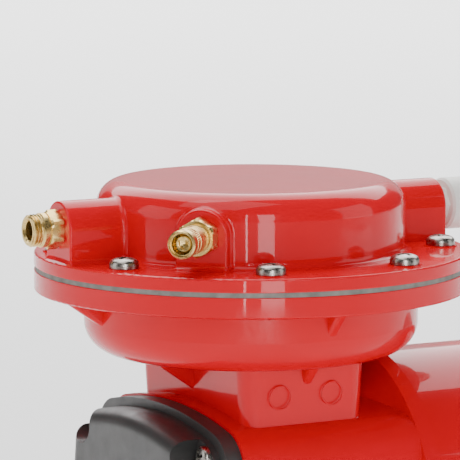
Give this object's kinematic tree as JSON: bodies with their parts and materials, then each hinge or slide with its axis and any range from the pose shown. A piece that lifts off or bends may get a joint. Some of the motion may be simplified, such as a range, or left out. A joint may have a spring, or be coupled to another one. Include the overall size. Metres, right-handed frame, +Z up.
{
  "type": "diaphragm air compressor",
  "caption": "Oil-free direct-drive air compressor: round diaphragm head with brass outlet and relief valve on a cast crankcase, motor behind, on rails with rubber feet.",
  "frame": {"origin": "on the floor, in the middle of the footprint", "axes": "+Z up, -Y towards the outlet and front cover, +Y along the motor"},
  "size_m": [0.18, 0.3034, 0.2357],
  "materials": {
    "red_paint": "glossy red enamel",
    "aluminium": "cast and machined",
    "zinc_steel": "zinc plated",
    "nickel_steel": "nickel plated, slightly worn",
    "spring_steel": "ground",
    "brass": "machined",
    "diaphragm_rubber": "grey fabric-reinforced rubber",
    "white_plastic": "moulded",
    "felt": "pressed felt",
    "black_plastic": "semi-matte moulded",
    "gloss_black": "polished",
    "cast_iron": "as cast",
    "lamination": "stacked sheet",
    "copper": "enamelled copper wire",
    "capacitor_can": "moulded can",
    "black_steel": "satin black paint",
    "foot_rubber": "moulded"
  },
  "bodies": {
    "housing": {"head_cover": "red_paint", "valve_plate": "aluminium", "valve_plate_screws": "zinc_steel", "reed_stop": "spring_steel", "reed_rivets": "zinc_steel", "diaphragm": "diaphragm_rubber", "head_screws": "nickel_steel", "outlet_fitting": "brass", "relief_valve_body": "brass", "relief_spring": "spring_steel", "intake_filter_cup": "white_plastic", "intake_felt": "felt", "crankcase": "red_paint", "front_cover": "black_plastic", "front_cover_screws": "nickel_steel", "stator_core": "lamination", "stator_windings": "copper", "motor_tube": "red_paint", "rear_shield": "aluminium", "tie_bolts": "zinc_steel", "rear_cap": "black_plastic", "rear_cap_screws": "nickel_steel", "run_capacitor": "capacitor_can", "switch_bezel": "black_plastic", "cable_gland": "black_plastic", "base_rail_left": "black_steel", "base_rail_right": "black_steel", "motor_saddle": "red_paint", "rail_bolts": "zinc_steel", "rail_nuts": "zinc_steel", "rubber_foot_front_left": "foot_rubber", "rubber_foot_rear_left": "foot_rubber", "rubber_foot_front_right": "foot_rubber", "rubber_foot_rear_right": "foot_rubber", "foot_screws": "zinc_steel", "front_bearing_outer_race": "spring_steel", "front_bearing_balls": "spring_steel", "rear_bearing_outer_race": "spring_steel", "rear_bearing_balls": "spring_steel"},
    "inlet_reed": {"inlet_reed": "spring_steel"},
    "outlet_reed": {"outlet_reed": "spring_steel"},
    "rod": {"diaphragm_upper_plate": "aluminium", "diaphragm_lower_plate": "aluminium", "diaphragm_screw": "zinc_steel", "connecting_rod": "aluminium", "rod_bearing_outer_race": "spring_steel", "rod_bearing_balls": "spring_steel"},
    "relief_ball": {"relief_ball": "spring_steel"},
    "relief_seat": {"relief_spring_seat": "brass"},
    "relief_adjuster": {"relief_adjuster": "brass"},
    "crank": {"eccentric": "cast_iron", "eccentric_grub_screw": "zinc_steel", "motor_shaft": "spring_steel", "rotor_core": "lamination", "rotor_cage": "aluminium", "cooling_fan": "black_plastic", "rod_bearing_inner_race": "spring_steel", "front_bearing_inner_race": "spring_steel", "rear_bearing_inner_race": "spring_steel"},
    "rocker": {"switch_rocker": "gloss_black"}
  },
  "joints": [
    {"name": "crank_spin", "type": "hinge", "parent": "housing", "child": "crank", "pos_m": [0, -0.05025, 0.0924], "axis": [0, 1, 0], "continuous": true, "deforming": ["diaphragm"]},
    {"name": "rod_swing", "type": "hinge", "parent": "crank", "child": "rod", "pos_m": [0, -0.05025, 0.0944], "axis": [0, 1, 0], "continuous": true},
    {"name": "inlet_reed_flex", "type": "hinge", "parent": "housing", "child": "inlet_reed", "pos_m": [0, -0.03675, 0.2071], "axis": [-1, 0, 0], "range_deg": [0, 2.5], "stiffness_Nm_per_rad": 0.02, "deforming": ["inlet_reed"]},
    {"name": "outlet_reed_flex", "type": "hinge", "parent": "housing", "child": "outlet_reed", "pos_m": [0, -0.06375, 0.2125], "axis": [-1, 0, 0], "range_deg": [0, 4.5], "stiffness_Nm_per_rad": 0.02, "deforming": ["outlet_reed"]},
    {"name": "relief_ball_lift", "type": "slide", "parent": "housing", "child": "relief_ball", "axis": [0.7071, -0.7071, 0], "range_m": [0, 0.001], "stiffness_N_per_m": 200, "deforming": ["relief_spring"]},
    {"name": "relief_seat_travel", "type": "slide", "parent": "housing", "child": "relief_seat", "axis": [0.7071, -0.7071, 0], "range_m": [-0.001, 0.001]},
    {"name": "relief_adjuster_turn", "type": "hinge", "parent": "relief_seat", "child": "relief_adjuster", "pos_m": [0.06081, -0.11106, 0.22], "axis": [0.7071, -0.7071, 0], "range_deg": [-360, 360]},
    {"name": "rocker_tilt", "type": "hinge", "parent": "housing", "child": "rocker", "pos_m": [0, 0.14675, 0.1164], "axis": [1, 0, 0], "range_deg": [-16, 0]}
  ],
  "couplings": [
    {"joint": "rod_swing", "follows": "crank_spin", "ratio": -1},
    {"joint": "relief_adjuster_turn", "follows": "relief_seat_travel", "rad_per_m": 6283.2}
  ]
}
